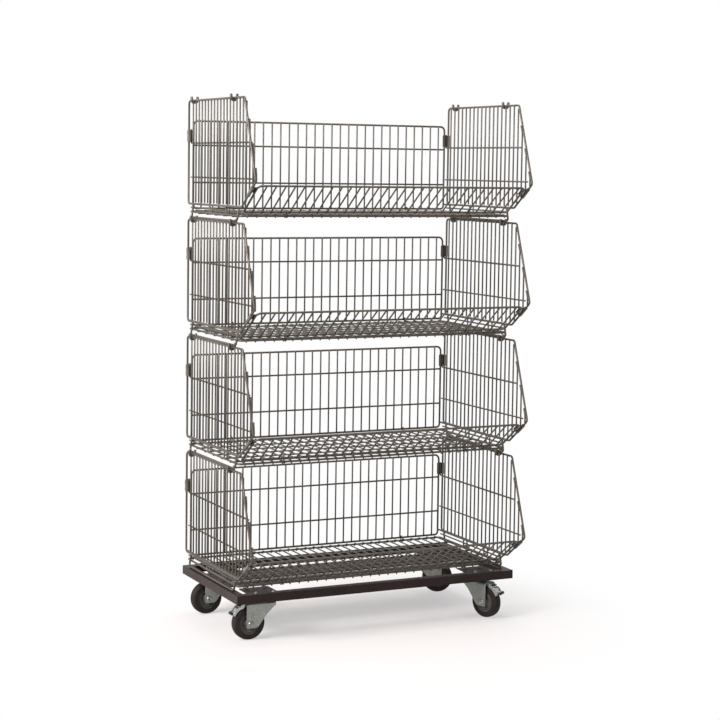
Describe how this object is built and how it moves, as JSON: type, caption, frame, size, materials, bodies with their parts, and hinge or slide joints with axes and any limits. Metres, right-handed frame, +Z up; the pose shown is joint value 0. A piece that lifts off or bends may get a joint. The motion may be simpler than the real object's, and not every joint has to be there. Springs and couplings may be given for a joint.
{
  "type": "rolling tiered basket stand",
  "caption": "Stacked open-fronted wire baskets with fold-in lips and backs, standing on a steel angle dolly with swivel casters and foot brakes.",
  "frame": {"origin": "on the floor under the middle of the stand", "axes": "+X to the right, -Y towards the open front of the baskets, +Z up"},
  "size_m": [0.9, 0.5279, 1.5596],
  "materials": {
    "zinc_wire": "zinc-plated drawn wire, satin",
    "dolly_paint": "very dark brown-black paint, semi-gloss",
    "zinc_plate": "zinc-plated pressed steel, satin",
    "tyre_rubber": "dark rubber, matte",
    "hub_plastic": "dark grey moulded plastic"
  },
  "bodies": {
    "dolly": {"dolly_rail_front": "dolly_paint", "dolly_rail_right": "dolly_paint", "dolly_rail_rear": "dolly_paint", "dolly_rail_left": "dolly_paint", "dolly_corner_plate_left_front": "dolly_paint", "caster_left_front_plate": "zinc_plate", "dolly_corner_plate_right_front": "dolly_paint", "caster_right_front_plate": "zinc_plate", "dolly_corner_plate_left_rear": "dolly_paint", "caster_left_rear_plate": "zinc_plate", "dolly_corner_plate_right_rear": "dolly_paint", "caster_right_rear_plate": "zinc_plate"},
    "swivel_left_front": {"caster_left_front_fork": "zinc_plate", "caster_left_front_axle": "zinc_plate"},
    "wheel_left_front": {"caster_left_front_hub": "hub_plastic", "caster_left_front_tyre": "tyre_rubber"},
    "pedal_left_front": {"caster_left_front_pedal": "zinc_plate"},
    "swivel_right_front": {"caster_right_front_fork": "zinc_plate", "caster_right_front_axle": "zinc_plate"},
    "wheel_right_front": {"caster_right_front_hub": "hub_plastic", "caster_right_front_tyre": "tyre_rubber"},
    "pedal_right_front": {"caster_right_front_pedal": "zinc_plate"},
    "swivel_left_rear": {"caster_left_rear_fork": "zinc_plate", "caster_left_rear_axle": "zinc_plate"},
    "wheel_left_rear": {"caster_left_rear_hub": "hub_plastic", "caster_left_rear_tyre": "tyre_rubber"},
    "swivel_right_rear": {"caster_right_rear_fork": "zinc_plate", "caster_right_rear_axle": "zinc_plate"},
    "wheel_right_rear": {"caster_right_rear_hub": "hub_plastic", "caster_right_rear_tyre": "tyre_rubber"},
    "basket_1": {"basket_1_floor": "zinc_wire", "basket_1_side_left": "zinc_wire", "basket_1_side_right": "zinc_wire", "basket_1_clip_left": "zinc_wire", "basket_1_clip_right": "zinc_wire"},
    "basket_1_back": {"basket_1_back": "zinc_wire"},
    "basket_1_lip": {"basket_1_lip": "zinc_wire"},
    "basket_2": {"basket_2_floor": "zinc_wire", "basket_2_side_left": "zinc_wire", "basket_2_side_right": "zinc_wire", "basket_2_clip_left": "zinc_wire", "basket_2_clip_right": "zinc_wire"},
    "basket_2_back": {"basket_2_back": "zinc_wire"},
    "basket_2_lip": {"basket_2_lip": "zinc_wire"},
    "basket_3": {"basket_3_floor": "zinc_wire", "basket_3_side_left": "zinc_wire", "basket_3_side_right": "zinc_wire", "basket_3_clip_left": "zinc_wire", "basket_3_clip_right": "zinc_wire"},
    "basket_3_back": {"basket_3_back": "zinc_wire"},
    "basket_3_lip": {"basket_3_lip": "zinc_wire"},
    "basket_4": {"basket_4_floor": "zinc_wire", "basket_4_side_left": "zinc_wire", "basket_4_side_right": "zinc_wire", "basket_4_clip_left": "zinc_wire", "basket_4_clip_right": "zinc_wire"},
    "basket_4_back": {"basket_4_back": "zinc_wire"},
    "basket_4_lip": {"basket_4_lip": "zinc_wire"}
  },
  "joints": [
    {"name": "swivel_left_front", "type": "hinge", "parent": "dolly", "child": "swivel_left_front", "pos_m": [-0.358, -0.1277, 0.12], "axis": [0, 0, 1], "continuous": true},
    {"name": "roll_left_front", "type": "hinge", "parent": "swivel_left_front", "child": "wheel_left_front", "pos_m": [-0.395, -0.1277, 0.048], "axis": [0, -1, 0], "continuous": true},
    {"name": "brake_left_front", "type": "hinge", "parent": "swivel_left_front", "child": "pedal_left_front", "pos_m": [-0.401, -0.1277, 0.0995], "axis": [0, -1, 0], "range_deg": [0, 5]},
    {"name": "swivel_right_front", "type": "hinge", "parent": "dolly", "child": "swivel_right_front", "pos_m": [0.358, -0.1277, 0.12], "axis": [0, 0, 1], "continuous": true},
    {"name": "roll_right_front", "type": "hinge", "parent": "swivel_right_front", "child": "wheel_right_front", "pos_m": [0.37065, -0.16247, 0.048], "axis": [0.9397, 0.342, 0], "continuous": true},
    {"name": "brake_right_front", "type": "hinge", "parent": "swivel_right_front", "child": "pedal_right_front", "pos_m": [0.37271, -0.16811, 0.0995], "axis": [0.9397, 0.342, 0], "range_deg": [0, 5]},
    {"name": "swivel_left_rear", "type": "hinge", "parent": "dolly", "child": "swivel_left_rear", "pos_m": [-0.358, 0.2077, 0.12], "axis": [0, 0, 1], "continuous": true},
    {"name": "roll_left_rear", "type": "hinge", "parent": "swivel_left_rear", "child": "wheel_left_rear", "pos_m": [-0.39491, 0.20512, 0.048], "axis": [0.0698, -0.9976, 0], "continuous": true},
    {"name": "swivel_right_rear", "type": "hinge", "parent": "dolly", "child": "swivel_right_rear", "pos_m": [0.358, 0.2077, 0.12], "axis": [0, 0, 1], "continuous": true},
    {"name": "roll_right_rear", "type": "hinge", "parent": "swivel_right_rear", "child": "wheel_right_rear", "pos_m": [0.39153, 0.19206, 0.048], "axis": [0.4226, 0.9063, 0], "continuous": true},
    {"name": "basket_1_lift", "type": "slide", "parent": "dolly", "child": "basket_1", "axis": [0, 0, 1], "range_m": [0, 0.1]},
    {"name": "basket_1_back_fold", "type": "hinge", "parent": "basket_1", "child": "basket_1_back", "pos_m": [0, 0.25749, 0.16933], "axis": [1, 0, 0], "range_deg": [0, 90]},
    {"name": "basket_1_lip_fold", "type": "hinge", "parent": "basket_1", "child": "basket_1_lip", "pos_m": [0, -0.1428, 0.16933], "axis": [-1, 0, 0], "range_deg": [0, 140]},
    {"name": "basket_2_lift", "type": "slide", "parent": "basket_1", "child": "basket_2", "axis": [0, 0, 1], "range_m": [0, 0.1]},
    {"name": "basket_2_back_fold", "type": "hinge", "parent": "basket_2", "child": "basket_2_back", "pos_m": [0, 0.25749, 0.52072], "axis": [1, 0, 0], "range_deg": [0, 90]},
    {"name": "basket_2_lip_fold", "type": "hinge", "parent": "basket_2", "child": "basket_2_lip", "pos_m": [0, -0.1428, 0.52072], "axis": [-1, 0, 0], "range_deg": [0, 140]},
    {"name": "basket_3_lift", "type": "slide", "parent": "basket_2", "child": "basket_3", "axis": [0, 0, 1], "range_m": [0, 0.1]},
    {"name": "basket_3_back_fold", "type": "hinge", "parent": "basket_3", "child": "basket_3_back", "pos_m": [0, 0.25749, 0.87211], "axis": [1, 0, 0], "range_deg": [0, 90]},
    {"name": "basket_3_lip_fold", "type": "hinge", "parent": "basket_3", "child": "basket_3_lip", "pos_m": [0, -0.1428, 0.87211], "axis": [-1, 0, 0], "range_deg": [0, 140]},
    {"name": "basket_4_lift", "type": "slide", "parent": "basket_3", "child": "basket_4", "axis": [0, 0, 1], "range_m": [0, 0.1]},
    {"name": "basket_4_back_fold", "type": "hinge", "parent": "basket_4", "child": "basket_4_back", "pos_m": [0, 0.25749, 1.2235], "axis": [1, 0, 0], "range_deg": [0, 90]},
    {"name": "basket_4_lip_fold", "type": "hinge", "parent": "basket_4", "child": "basket_4_lip", "pos_m": [0, -0.1428, 1.2235], "axis": [-1, 0, 0], "range_deg": [0, 140]}
  ]
}
